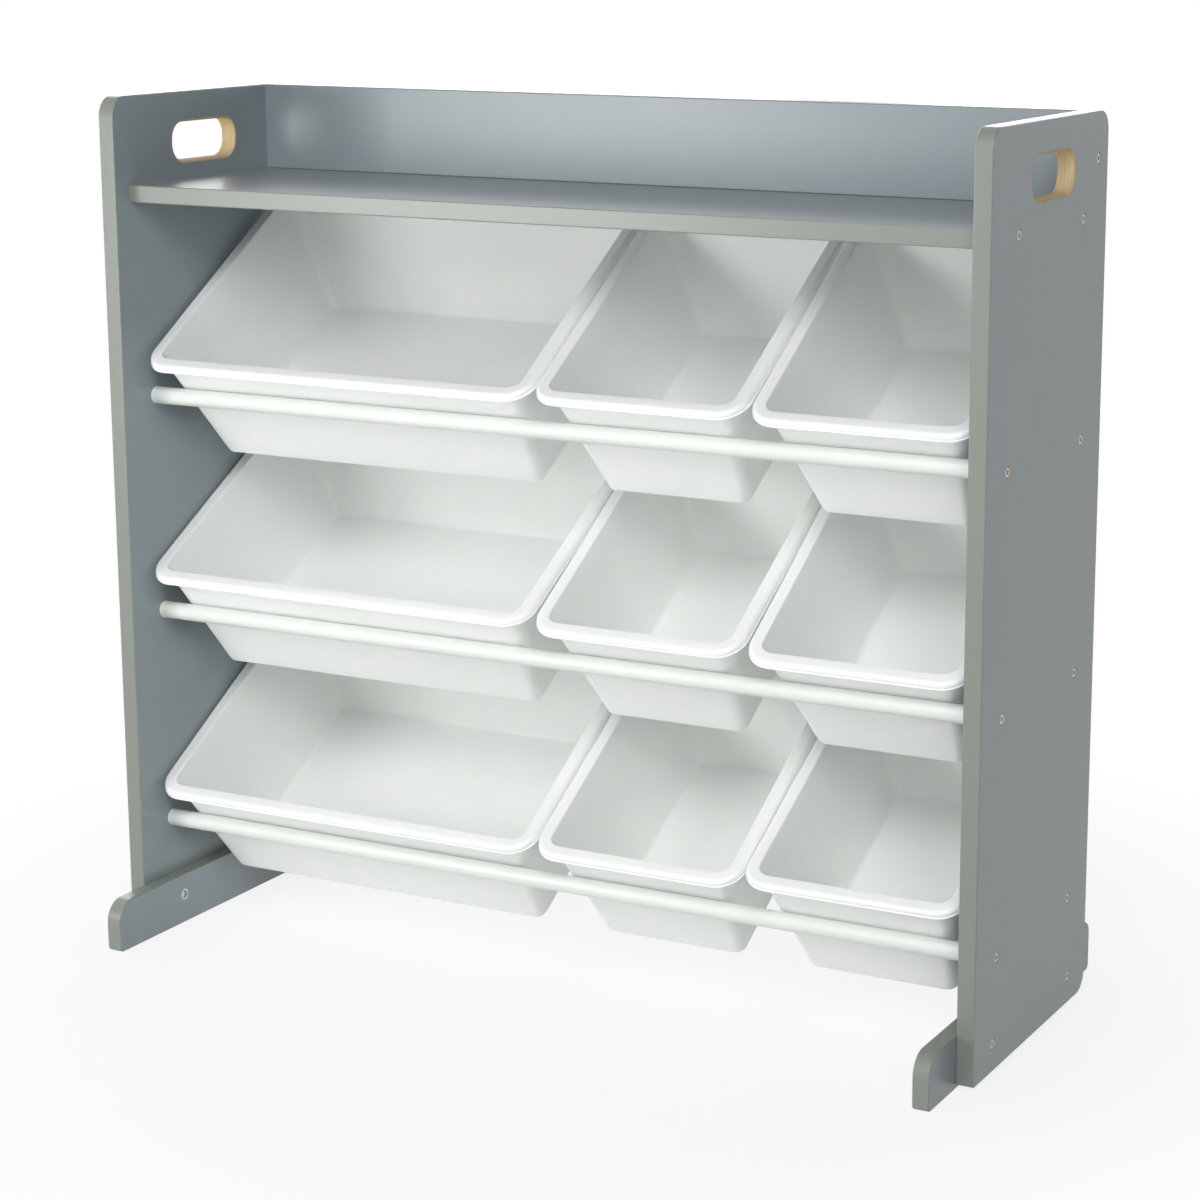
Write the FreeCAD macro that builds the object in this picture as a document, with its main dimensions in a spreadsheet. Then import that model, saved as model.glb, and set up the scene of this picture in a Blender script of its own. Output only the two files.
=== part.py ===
"""Toy storage organizer: a boarded rack with nine lift-out bins on three tiers of rods.

Frame: millimetres, +Z up, +X to the right of a person who faces the bins, +Y to the back.
The origin lies on the floor, midway between the sides and midway along their depth.
"""
import FreeCAD, Part
import os
import Sketcher

# Driving sizes: name, value, what it measures.
SIZES = [
    ("overall_width", 870, "outer face to outer face of the sides"),
    ("side_top", 795, "floor to the top of the sides"),
    ("side_lift", 3, "gap under the sides, which hang on the feet"),
    ("side_depth", 266, "front edge to back edge of a side"),
    ("side_board", 16, "thickness of a side"),
    ("side_corner", 18, "radius of a side's two top corners and its lower back corner"),
    ("side_toe", 4, "radius of a side's lower front corner"),
    ("board_ease", 1.2, "rounding of the painted board edges"),
    ("slot_length", 96, "hand slot, front to back"),
    ("slot_height", 36, "hand slot, top to bottom"),
    ("slot_corner", 16, "hand slot corner radius"),
    ("slot_ease", 2.2, "rounding of the hand slot's rims"),
    ("slot_drop", 46.5, "top of a side down to the middle of its hand slot"),
    ("back_board_height", 81, "height of the board that stands on the shelf, up to the tops of the sides"),
    ("shelf_board", 16, "thickness of the shelf"),
    ("shelf_setback", 20.5, "front edge of the sides to the front edge of the shelf"),
    ("shelf_back_inset", 15, "back edge of the sides to the back edge of the shelf"),
    ("shelf_screw_inset", 40.5, "shelf edge to the nearest screw in its end"),
    ("back_board_thickness", 15, "thickness of the board behind the shelf"),
    ("foot_height", 48, "floor to the top of a foot"),
    ("foot_board", 15, "thickness of a foot"),
    ("foot_reach", 57, "how far a foot reaches past a side, in front and behind"),
    ("foot_front_corner", 20, "radius of a foot's upper front corner"),
    ("foot_rear_corner", 12, "radius of a foot's upper back corner"),
    ("foot_toe", 5, "radius of a foot's lower corners"),
    ("foot_bolt_height", 28, "floor to the foot bolts"),
    ("foot_bolt_inset", 42.5, "front or back edge of a side to the nearest foot bolt"),
    ("rod_diameter", 16, "outside of the rods and their end plugs"),
    ("rod_wall", 1.5, "wall of the rod tube"),
    ("rod_setback", 47.5, "front and back edges of the sides to the nearest rods"),
    ("low_tier_height", 103, "floor to the rods of the bottom tier"),
    ("top_tier_saving", 24.5, "how much less height the top tier takes under the shelf than the others take"),
    ("plug_flange", 3, "end plug flange between tube and side"),
    ("plug_spigot", 22, "end plug length inside the tube"),
    ("recess_diameter", 10.2, "recess in a side for a screw head"),
    ("recess_depth", 3, "depth of that recess"),
    ("head_diameter", 8.4, "screw and bolt head"),
    ("head_height", 2.4, "screw and bolt head height"),
    ("socket_radius", 2.3, "corner radius of the hexagon socket in a head"),
    ("socket_depth", 1.6, "depth of that socket"),
    ("screw_diameter", 4.8, "screw shank, threads left plain"),
    ("screw_length", 38, "screw length under its head"),
    ("bolt_diameter", 6, "foot bolt shank, threads left plain"),
    ("bolt_length", 25, "foot bolt length under its head"),
    ("sleeve_flange_diameter", 11, "sleeve nut flange on the foot's inner face"),
    ("sleeve_flange_height", 1.3, "sleeve nut flange thickness"),
    ("sleeve_diameter", 8, "sleeve nut barrel"),
    ("sleeve_length", 12, "sleeve nut length with its flange"),
    ("sleeve_socket_radius", 3.6, "corner radius of the sleeve nut's hexagon socket"),
    ("sleeve_socket_depth", 3, "depth of that socket"),
    ("dowel_diameter", 8, "wooden pegs between shelf and back board"),
    ("dowel_length", 30, "length of a peg"),
    ("dowel_in_shelf", 10, "how deep a peg sits in the shelf"),
    ("dowel_spacing", 300, "middle peg to the outer pegs"),
    ("hole_gap", 0.1, "gap all round a fastener, peg or spigot in its hole"),
    ("end_gap", 1, "room past the end of a fastener or peg"),
    ("bin_tilt", 31.5, "slope of the bins, low at the front, in degrees"),
    ("bin_overhang", 81.5, "bin length, lip to lip along the slope, past the slanted distance of its rods"),
    ("bin_headroom", 52, "distance square to the slope from tier to tier, less the height of a bin"),
    ("row_play", 10, "room beside and between the bins of a tier"),
    ("bin_wall", 2.2, "wall and lip thickness"),
    ("bin_floor", 2.4, "bottom thickness"),
    ("lip_reach", 11.5, "how far the lip stands out from the wall"),
    ("lip_height", 7, "height of the lip's skirt"),
    ("lip_corner", 26, "corner radius of the lip"),
    ("lip_round", 4, "rounding over the top of the lip"),
    ("bead_reach", 0.8, "how far the bead at the foot of the skirt stands out"),
    ("bead_height", 1.8, "height of that bead"),
    ("rim_round", 1.4, "rounding from the lip into the bin"),
    ("front_taper", 5.5, "lean of the front wall, in degrees"),
    ("side_taper", 9.8, "lean of the side walls, in degrees"),
    ("rear_taper", 12.5, "lean of the rear wall, in degrees"),
    ("bottom_corner", 10, "corner radius of the bottom, seen from above"),
    ("bottom_round", 3.5, "rounding from wall to bottom outside"),
    ("floor_round", 5, "rounding from wall to bottom inside"),
    ("rest_gap", 0.3, "gap between a bin and the rods that carry it"),
    ("bottom_row_gap", 0.5, "left side to the large bin of the bottom tier"),
    ("middle_row_gap", 0.5, "left side to the large bin of the middle tier"),
    ("top_row_gap", 3, "left side to the large bin of the top tier"),
    ("bin_gap", 1.4, "between neighbouring bins"),
    ("settling_large_bottom", -0.2, "how much steeper than bin_tilt this bin lies, in degrees"),
    ("settling_large_middle", -1.75, "the same for this bin"),
    ("settling_large_top", 0.6, "the same for this bin"),
    ("settling_centre_bottom", -0.6, "the same for this bin"),
    ("settling_centre_middle", 0.05, "the same for this bin"),
    ("settling_centre_top", 0.35, "the same for this bin"),
    ("settling_right_bottom", -2.8, "the same for this bin"),
    ("settling_right_middle", 1.4, "the same for this bin"),
    ("settling_right_top", 1.2, "the same for this bin"),
]

TIERS = ["bottom", "middle", "top"]

doc = FreeCAD.newDocument("toy_storage_organizer")
sheet = doc.addObject("Spreadsheet::Sheet", "sizes")
for row, (name, number, meaning) in enumerate(SIZES, start=1):
    sheet.set(f"A{row}", name)
    sheet.set(f"B{row}", str(number))
    sheet.set(f"C{row}", meaning)
    sheet.setAlias(f"B{row}", name)
doc.recompute()

# Places that several pieces share, as expressions of the sheet.
HALF_WIDTH = "(sizes.overall_width / 2)"
INNER_HALF = "(sizes.overall_width / 2 - sizes.side_board)"
INNER_WIDTH = "(sizes.overall_width - 2 * sizes.side_board)"
SHELF_TOP = "(sizes.side_top - sizes.back_board_height)"
SHELF_UNDERSIDE = f"({SHELF_TOP} - sizes.shelf_board)"
SHELF_BACK = "(sizes.side_depth - sizes.shelf_back_inset)"
SHELF_DEPTH = f"({SHELF_BACK} - sizes.shelf_setback)"
ROD_RADIUS = "(sizes.rod_diameter / 2)"
ROD_PITCH = "(sizes.side_depth - 2 * sizes.rod_setback)"
REAR_ROD = "(sizes.side_depth - sizes.rod_setback)"
TIER_PITCH = f"(({SHELF_UNDERSIDE} - sizes.low_tier_height + sizes.top_tier_saving) / {len(TIERS)})"
ALL_TIERS = f"{len(TIERS) - 1} * {TIER_PITCH}"
SMALL_BIN_WIDTH = f"(({INNER_WIDTH} - sizes.row_play) / 4)"
LARGE_BIN_WIDTH = f"(2 * {SMALL_BIN_WIDTH})"
BIN_LENGTH = f"({ROD_PITCH} / cos(sizes.bin_tilt) + sizes.bin_overhang)"
BIN_HEIGHT = f"({TIER_PITCH} * cos(sizes.bin_tilt) - sizes.bin_headroom)"
REAR_BOLT = "(sizes.side_depth - sizes.foot_bolt_inset)"
SCREW_HOLE = "(sizes.screw_diameter / 2 + sizes.hole_gap)"
BOLT_HOLE = "(sizes.bolt_diameter / 2 + sizes.hole_gap)"
DOWEL_HOLE = "(sizes.dowel_diameter / 2 + sizes.hole_gap)"
SCREW_IN_BOARD = "(sizes.screw_length + sizes.recess_depth - sizes.side_board + sizes.end_gap)"
SHELF_SCREWS = [
    ("sizes.shelf_setback + sizes.shelf_screw_inset", SHELF_UNDERSIDE + " + sizes.shelf_board / 2"),
    (SHELF_BACK + " - sizes.shelf_screw_inset", SHELF_UNDERSIDE + " + sizes.shelf_board / 2"),
]
BACK_BOARD_SCREW = (
    SHELF_BACK + " - sizes.back_board_thickness / 2",
    SHELF_TOP + " + sizes.back_board_height / 2",
)
FOOT_BOLTS = [("sizes.foot_bolt_inset", "sizes.foot_bolt_height"), (REAR_BOLT, "sizes.foot_bolt_height")]

ORIGIN, H_AXIS, V_AXIS = -1, -1, -2
START, END, CENTRE = 1, 2, 3


def tier_height(tier):
    """Height of a tier's rods, counted from the bottom tier."""
    return f"sizes.low_tier_height + {tier} * {TIER_PITCH}"


def measure(expression):
    """Number that an expression of the sheet gives now."""
    result = sheet.evalExpression(expression)
    return float(getattr(result, "Value", result))


def new_body(name):
    """Empty body whose label names its sub-part; a group of like solids is allowed."""
    body = doc.addObject("PartDesign::Body", name)
    body.Label = name
    body.AllowCompound = True
    return body


def origin_feature(body, role):
    """Origin plane or axis of a body, such as XY_Plane or Z_Axis."""
    return next(feature for feature in body.Origin.OriginFeatures if feature.Role == role)


def place(body, x="0", y="0", z="0"):
    """Tie the body's position to the sheet; y is given as a distance behind the sides' front edges."""
    body.setExpression("Placement.Base.x", x)
    body.setExpression("Placement.Base.y", f"{y} - sizes.side_depth / 2")
    body.setExpression("Placement.Base.z", z)


def new_sketch(body, name, plane, level="0"):
    """Sketch on one of the body's own origin planes, moved along its normal to a level."""
    sketch = body.newObject("Sketcher::SketchObject", name)
    sketch.AttachmentSupport = [(origin_feature(body, plane), "")]
    sketch.MapMode = "FlatFace"
    sketch.AttachmentOffset = FreeCAD.Placement(FreeCAD.Vector(0, 0, measure(level)), FreeCAD.Rotation())
    sketch.setExpression("AttachmentOffset.Base.z", level)
    return sketch


def dimension(sketch, kind, *where, size):
    """Dimensional constraint whose value is an expression of the sheet."""
    index = sketch.addConstraint(Sketcher.Constraint(kind, *where, measure(size)))
    sketch.setExpression(f"Constraints[{index}]", size)


def fix_point(sketch, geometry, point, x=None, y=None):
    """Hold a point at a distance right of, or above, the sketch's origin."""
    for kind, axis, size in (("DistanceX", V_AXIS, x), ("DistanceY", H_AXIS, y)):
        if size == "0":
            sketch.addConstraint(Sketcher.Constraint("PointOnObject", geometry, point, axis))
        elif size is not None:
            dimension(sketch, kind, ORIGIN, START, geometry, point, size=size)


def draw_rounded(sketch, left, low, right, high, radii):
    """Rectangle with arcs for corners; radii start at the low left and go round by the right."""
    x = [measure(left), measure(right)]
    y = [measure(low), measure(high)]
    r = [measure(radius) for radius in radii]
    sides = [
        ((x[0] + r[0], y[0]), (x[1] - r[1], y[0])),
        ((x[1], y[0] + r[1]), (x[1], y[1] - r[2])),
        ((x[1] - r[2], y[1]), (x[0] + r[3], y[1])),
        ((x[0], y[1] - r[3]), (x[0], y[0] + r[0])),
    ]
    centres = [
        (x[0] + r[0], y[0] + r[0]),
        (x[1] - r[1], y[0] + r[1]),
        (x[1] - r[2], y[1] - r[2]),
        (x[0] + r[3], y[1] - r[3]),
    ]
    quarter = FreeCAD.Units.parseQuantity("90 deg").getValueAs("rad").Value
    up = FreeCAD.Vector(0, 0, 1)
    lines = []
    for start, end in sides:
        lines.append(sketch.addGeometry(Part.LineSegment(FreeCAD.Vector(*start), FreeCAD.Vector(*end))))
    arcs = []
    for corner, centre in enumerate(centres):
        circle = Part.Circle(FreeCAD.Vector(*centre), up, r[corner])
        turn = quarter * (corner + 2)
        arcs.append(sketch.addGeometry(Part.ArcOfCircle(circle, turn, turn + quarter)))
    for corner in range(4):
        before, after = lines[corner - 1], lines[corner]
        sketch.addConstraint(Sketcher.Constraint("Tangent", before, END, arcs[corner], START))
        sketch.addConstraint(Sketcher.Constraint("Tangent", arcs[corner], END, after, START))
        sketch.addConstraint(Sketcher.Constraint("Vertical" if corner % 2 else "Horizontal", after))
        dimension(sketch, "Radius", arcs[corner], size=radii[corner])
    fix_point(sketch, lines[0], START, y=low)
    fix_point(sketch, lines[1], START, x=right)
    fix_point(sketch, lines[2], START, y=high)
    fix_point(sketch, lines[3], START, x=left)


def draw_polygon(sketch, corners):
    """Closed outline of level and upright lines through corners given as pairs of expressions."""
    points = [FreeCAD.Vector(measure(x), measure(y)) for x, y in corners]
    count = len(points)
    lines = [
        sketch.addGeometry(Part.LineSegment(points[i], points[(i + 1) % count])) for i in range(count)
    ]
    for i in range(count):
        sketch.addConstraint(Sketcher.Constraint("Coincident", lines[i], END, lines[(i + 1) % count], START))
        level = corners[i][1] == corners[(i + 1) % count][1]
        sketch.addConstraint(Sketcher.Constraint("Horizontal" if level else "Vertical", lines[i]))
        if level:
            fix_point(sketch, lines[i], START, y=corners[i][1])
        else:
            fix_point(sketch, lines[i], START, x=corners[i][0])


def draw_circles(sketch, centres, radius):
    """Equal circles at centres given as pairs of expressions."""
    for x, y in centres:
        circle = Part.Circle(FreeCAD.Vector(measure(x), measure(y)), FreeCAD.Vector(0, 0, 1), measure(radius))
        index = sketch.addGeometry(circle)
        fix_point(sketch, index, CENTRE, x=x, y=y)
        dimension(sketch, "Radius", index, size=radius)


def draw_hexagon(sketch, radius):
    """Regular hexagon about the sketch's origin, with one corner on the level axis."""
    size = measure(radius)
    rim = sketch.addGeometry(Part.Circle(FreeCAD.Vector(), FreeCAD.Vector(0, 0, 1), size), True)
    sketch.addConstraint(Sketcher.Constraint("Coincident", rim, CENTRE, ORIGIN, START))
    dimension(sketch, "Radius", rim, size=radius)
    turn = FreeCAD.Rotation(FreeCAD.Vector(0, 0, 1), 60)
    corner = FreeCAD.Vector(size, 0)
    lines = []
    for _ in range(6):
        following = turn.multVec(corner)
        lines.append(sketch.addGeometry(Part.LineSegment(corner, following)))
        corner = following
    for i, line in enumerate(lines):
        sketch.addConstraint(Sketcher.Constraint("Coincident", line, END, lines[(i + 1) % 6], START))
        sketch.addConstraint(Sketcher.Constraint("PointOnObject", line, START, rim))
        if i:
            sketch.addConstraint(Sketcher.Constraint("Equal", lines[0], line))
    sketch.addConstraint(Sketcher.Constraint("PointOnObject", lines[0], START, H_AXIS))


def pad(body, name, sketch, length, backwards=False, centred=False):
    """Solid raised from a sketch."""
    feature = body.newObject("PartDesign::Pad", name)
    feature.Profile = sketch
    feature.Midplane = centred
    feature.Reversed = backwards
    feature.setExpression("Length", length)
    doc.recompute()
    return feature


def pocket(body, name, sketch, length, along_normal):
    """Cut sunk from a sketch, along its normal or against it."""
    before = body.Shape.Volume
    feature = body.newObject("PartDesign::Pocket", name)
    feature.Profile = sketch
    feature.Reversed = along_normal
    feature.setExpression("Length", length)
    doc.recompute()
    if body.Shape.Volume >= before:
        raise ValueError(f"{name} cuts nothing")
    return feature


def loft(body, name, kind, first, second):
    """Straight-walled loft between two sketches."""
    feature = body.newObject(kind, name)
    feature.Profile = first
    feature.Sections = [second]
    feature.Ruled = True
    doc.recompute()
    return feature


def round_edges(body, name, radius, chosen):
    """Fillet on those edges of the body so far that pass a test."""
    base = body.Tip
    edges = [f"Edge{i}" for i, edge in enumerate(base.Shape.Edges, start=1) if chosen(edge)]
    feature = body.newObject("PartDesign::Fillet", name)
    feature.Base = (base, edges)
    feature.setExpression("Radius", radius)
    doc.recompute()
    return feature


def lies_at(edge, axis, level, reach=0):
    """Whether all of an edge's ends have one coordinate at a level, or within reach of it."""
    return all(abs(vertex.Point[axis] - level) < reach + 1e-4 for vertex in edge.Vertexes)


def in_a_face(edge, thickness):
    """Whether an edge lies in one of the two faces of a board that stands upright along Y."""
    return lies_at(edge, 0, 0) or lies_at(edge, 0, thickness)


def runs_along_x(edge):
    """Whether an edge is straight and parallel to X."""
    return isinstance(edge.Curve, Part.Line) and abs(abs(edge.Curve.Direction.x) - 1) < 1e-6


def repeat(body, name, feature, steps=(), mirrored=True):
    """Copies of a feature along the body's axes, then in its YZ plane, as one set of features.

    Each step is an axis role, the expression of the whole length, and the number of copies.
    """
    originals = feature if isinstance(feature, list) else [feature]
    group = body.newObject("PartDesign::MultiTransform", name)
    group.Originals = originals
    members = []
    for role, length, count in steps:
        row = body.newObject("PartDesign::LinearPattern", f"{name}_{role[0].lower()}_row")
        row.Direction = (origin_feature(body, role), [""])
        row.Occurrences = count
        row.setExpression("Length", length)
        members.append(row)
    if mirrored:
        mirror = body.newObject("PartDesign::Mirrored", f"{name}_mirror")
        mirror.MirrorPlane = (origin_feature(body, "YZ_Plane"), [""])
        members.append(mirror)
    group.Transformations = members
    body.Tip = group
    doc.recompute()
    return group


def turned(body, name, corners):
    """Solid of revolution about the body's X axis from a stepped outline in its XY plane."""
    sketch = new_sketch(body, f"{name}_outline", "XY_Plane")
    draw_polygon(sketch, corners)
    feature = body.newObject("PartDesign::Revolution", name)
    feature.Profile = sketch
    feature.ReferenceAxis = (sketch, ["H_Axis"])
    feature.Angle = 360
    doc.recompute()
    return feature


def side_panel(name, outer_at_left):
    """Painted board side: rounded outline, hand slot, and a recess and a hole for each fastener."""
    body = new_body(name)
    place(body, x="-" + HALF_WIDTH if outer_at_left else INNER_HALF)
    outline = new_sketch(body, "outline", "YZ_Plane")
    corner = "sizes.side_corner"
    draw_rounded(outline, "0", "sizes.side_lift", "sizes.side_depth", "sizes.side_top",
                 ["sizes.side_toe", corner, corner, corner])
    pad(body, "board", outline, "sizes.side_board")
    thickness = measure("sizes.side_board")
    round_edges(body, "eased_edges", "sizes.board_ease", lambda edge: in_a_face(edge, thickness))
    slot = new_sketch(body, "hand_slot_outline", "YZ_Plane")
    middle = f"({SHELF_BACK} + sizes.shelf_setback) / 2"
    half = "sizes.slot_length / 2"
    level = "sizes.side_top - sizes.slot_drop"
    draw_rounded(slot, f"{middle} - {half}", f"{level} - sizes.slot_height / 2", f"{middle} + {half}",
                 f"{level} + sizes.slot_height / 2", ["sizes.slot_corner"] * 4)
    pocket(body, "hand_slot", slot, "sizes.side_board", along_normal=True)
    slot_level, slot_half = measure(level), measure("sizes.slot_height / 2")
    round_edges(body, "slot_rims", "sizes.slot_ease",
                lambda edge: in_a_face(edge, thickness) and lies_at(edge, 2, slot_level, slot_half))
    rods = [(y, tier_height(tier)) for tier in range(len(TIERS)) for y in ("sizes.rod_setback", REAR_ROD)]
    screws = rods + SHELF_SCREWS + [BACK_BOARD_SCREW]
    outer_face = "0" if outer_at_left else "sizes.side_board"
    for hole, centres, radius, depth in (
        ("head_recesses", screws + FOOT_BOLTS, "sizes.recess_diameter / 2", "sizes.recess_depth"),
        ("screw_holes", screws, SCREW_HOLE, "sizes.side_board"),
        ("bolt_holes", FOOT_BOLTS, BOLT_HOLE, "sizes.side_board"),
    ):
        sketch = new_sketch(body, f"{hole}_outline", "YZ_Plane", outer_face)
        draw_circles(sketch, centres, radius)
        pocket(body, hole, sketch, depth, along_normal=outer_at_left)
    return body


def foot(name, inner_at_right):
    """Low board under a side: long outline, two bolt holes, and seats for the sleeve nuts."""
    body = new_body(name)
    place(body, x="-" + INNER_HALF if inner_at_right else f"{INNER_HALF} - sizes.foot_board",
          y="-sizes.foot_reach")
    outline = new_sketch(body, "outline", "YZ_Plane")
    draw_rounded(outline, "0", "0", "sizes.side_depth + 2 * sizes.foot_reach", "sizes.foot_height",
                 ["sizes.foot_toe", "sizes.foot_toe", "sizes.foot_rear_corner", "sizes.foot_front_corner"])
    pad(body, "board", outline, "sizes.foot_board")
    thickness = measure("sizes.foot_board")
    round_edges(body, "eased_edges", "sizes.board_ease", lambda edge: in_a_face(edge, thickness))
    inner_face = "sizes.foot_board" if inner_at_right else "0"
    centres = [(f"{y} + sizes.foot_reach", z) for y, z in FOOT_BOLTS]
    sleeve_hole = "sizes.sleeve_diameter / 2 + sizes.hole_gap"
    flange_seat = "sizes.sleeve_flange_diameter / 2 + sizes.hole_gap"
    for hole, radius, depth in (
        ("bolt_holes", BOLT_HOLE, "sizes.foot_board"),
        ("sleeve_holes", sleeve_hole, "sizes.sleeve_length + sizes.end_gap / 2"),
        ("flange_seats", flange_seat, "sizes.sleeve_flange_height"),
    ):
        sketch = new_sketch(body, f"{hole}_outline", "YZ_Plane", inner_face)
        draw_circles(sketch, centres, radius)
        pocket(body, hole, sketch, depth, along_normal=not inner_at_right)
    return body


def cross_board(name, front, thickness, low, height, end_screws, pegs_from_below):
    """Board from side to side: eased long edges, screw holes in its ends and three peg holes."""
    body = new_body(name)
    place(body, y=front, z=low)
    section = new_sketch(body, "section", "YZ_Plane")
    draw_polygon(section, [("0", "0"), (thickness, "0"), (thickness, height), ("0", height)])
    pad(body, "board", section, INNER_WIDTH, centred=True)
    round_edges(body, "eased_edges", "sizes.board_ease", runs_along_x)
    ends = new_sketch(body, "end_holes_outline", "YZ_Plane", INNER_HALF)
    draw_circles(ends, [(f"{y} - ({front})", f"{z} - ({low})") for y, z in end_screws], SCREW_HOLE)
    holes = pocket(body, "end_holes", ends, SCREW_IN_BOARD, along_normal=False)
    repeat(body, "both_ends", holes)
    peg_line = f"{SHELF_BACK} - sizes.back_board_thickness / 2 - ({front})"
    face = "0" if pegs_from_below else height
    depth = "sizes.dowel_length - sizes.dowel_in_shelf" if pegs_from_below else "sizes.dowel_in_shelf"
    for place_name, x in (("middle", "0"), ("outer", "sizes.dowel_spacing")):
        sketch = new_sketch(body, f"{place_name}_peg_outline", "XY_Plane", face)
        draw_circles(sketch, [(x, peg_line)], DOWEL_HOLE)
        hole = pocket(body, f"{place_name}_peg_hole", sketch, f"{depth} + sizes.end_gap / 2",
                      along_normal=pegs_from_below)
    repeat(body, "outer_peg_holes", hole)
    return body


def rod(name, y, z):
    """Tube that carries the bins, from end plug to end plug."""
    body = new_body(name)
    place(body, y=y, z=z)
    section = new_sketch(body, "section", "YZ_Plane")
    draw_circles(section, [("0", "0")], ROD_RADIUS)
    draw_circles(section, [("0", "0")], f"{ROD_RADIUS} - sizes.rod_wall")
    pad(body, "tube", section, f"{INNER_WIDTH} - 2 * sizes.plug_flange", centred=True)
    return body


def rod_end_plugs(name):
    """Plugs in both ends of all rods: a flange against the side and a bored spigot in the tube."""
    body = new_body(name)
    place(body, y="sizes.rod_setback", z="sizes.low_tier_height")
    shoulder = f"{INNER_HALF} - sizes.plug_flange"
    tip = f"{shoulder} - sizes.plug_spigot"
    spigot = f"{ROD_RADIUS} - sizes.rod_wall - sizes.hole_gap"
    turned(body, "plug", [
        (tip, SCREW_HOLE), (INNER_HALF, SCREW_HOLE), (INNER_HALF, ROD_RADIUS),
        (shoulder, ROD_RADIUS), (shoulder, spigot), (tip, spigot),
    ])
    plug = body.Tip
    repeat(body, "all_plugs", plug, [("Y_Axis", ROD_PITCH, 2), ("Z_Axis", ALL_TIERS, len(TIERS))])
    return body


def headed_fasteners(name, first, diameter, length, steps):
    """Like fasteners through both sides: head in its recess, hexagon socket, plain shank."""
    body = new_body(name)
    place(body, y=first[0], z=first[1])
    seat = f"{HALF_WIDTH} - sizes.recess_depth"
    top = f"{seat} + sizes.head_height"
    tip = f"{seat} - {length}"
    head = "sizes.head_diameter / 2"
    shank = f"{diameter} / 2"
    turned(body, "fastener", [(tip, "0"), (top, "0"), (top, head), (seat, head), (seat, shank), (tip, shank)])
    blank = body.Tip
    outline = new_sketch(body, "socket_outline", "YZ_Plane", top)
    draw_hexagon(outline, "sizes.socket_radius")
    socket = pocket(body, "socket", outline, "sizes.socket_depth", along_normal=False)
    repeat(body, "all_fasteners", [blank, socket], steps)
    return body


def foot_sleeve_nuts(name):
    """Nuts let into the inner faces of the feet: flange, barrel, bore and hexagon socket."""
    body = new_body(name)
    place(body, y=FOOT_BOLTS[0][0], z=FOOT_BOLTS[0][1])
    face = f"{INNER_HALF} - sizes.foot_board"
    flange = "sizes.sleeve_flange_diameter / 2"
    barrel = "sizes.sleeve_diameter / 2"
    shoulder = f"{face} + sizes.sleeve_flange_height"
    tip = f"{face} + sizes.sleeve_length"
    turned(body, "nut", [(face, BOLT_HOLE), (tip, BOLT_HOLE), (tip, barrel), (shoulder, barrel),
                         (shoulder, flange), (face, flange)])
    blank = body.Tip
    outline = new_sketch(body, "socket_outline", "YZ_Plane", face)
    draw_hexagon(outline, "sizes.sleeve_socket_radius")
    socket = pocket(body, "socket", outline, "sizes.sleeve_socket_depth", along_normal=True)
    repeat(body, "all_nuts", [blank, socket], [("Y_Axis", f"{REAR_BOLT} - sizes.foot_bolt_inset", 2)])
    return body


def back_board_dowels(name):
    """Three upright pegs that locate the back board on the shelf."""
    body = new_body(name)
    place(body, y=f"{SHELF_BACK} - sizes.back_board_thickness / 2", z=f"{SHELF_TOP} - sizes.dowel_in_shelf")
    middle = new_sketch(body, "middle_section", "XY_Plane")
    draw_circles(middle, [("0", "0")], "sizes.dowel_diameter / 2")
    pad(body, "middle_peg", middle, "sizes.dowel_length")
    outer = new_sketch(body, "outer_section", "XY_Plane")
    draw_circles(outer, [("sizes.dowel_spacing", "0")], "sizes.dowel_diameter / 2")
    peg = pad(body, "outer_peg", outer, "sizes.dowel_length")
    repeat(body, "both_outer_pegs", peg)
    return body


def bin_outline(body, name, width, level, inset, radius):
    """Rounded outline at a level of a bin; inset is a front, rear and side distance from the lip."""
    sketch = new_sketch(body, name, "XY_Plane", level)
    draw_bin_outline(sketch, width, inset, radius)
    return sketch


def draw_bin_outline(sketch, width, inset, radius):
    """One rounded loop of a bin in a sketch."""
    front, rear, side = inset
    draw_rounded(sketch, side, front, f"{width} - ({side})", f"{BIN_LENGTH} - ({rear})", [radius] * 4)


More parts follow.
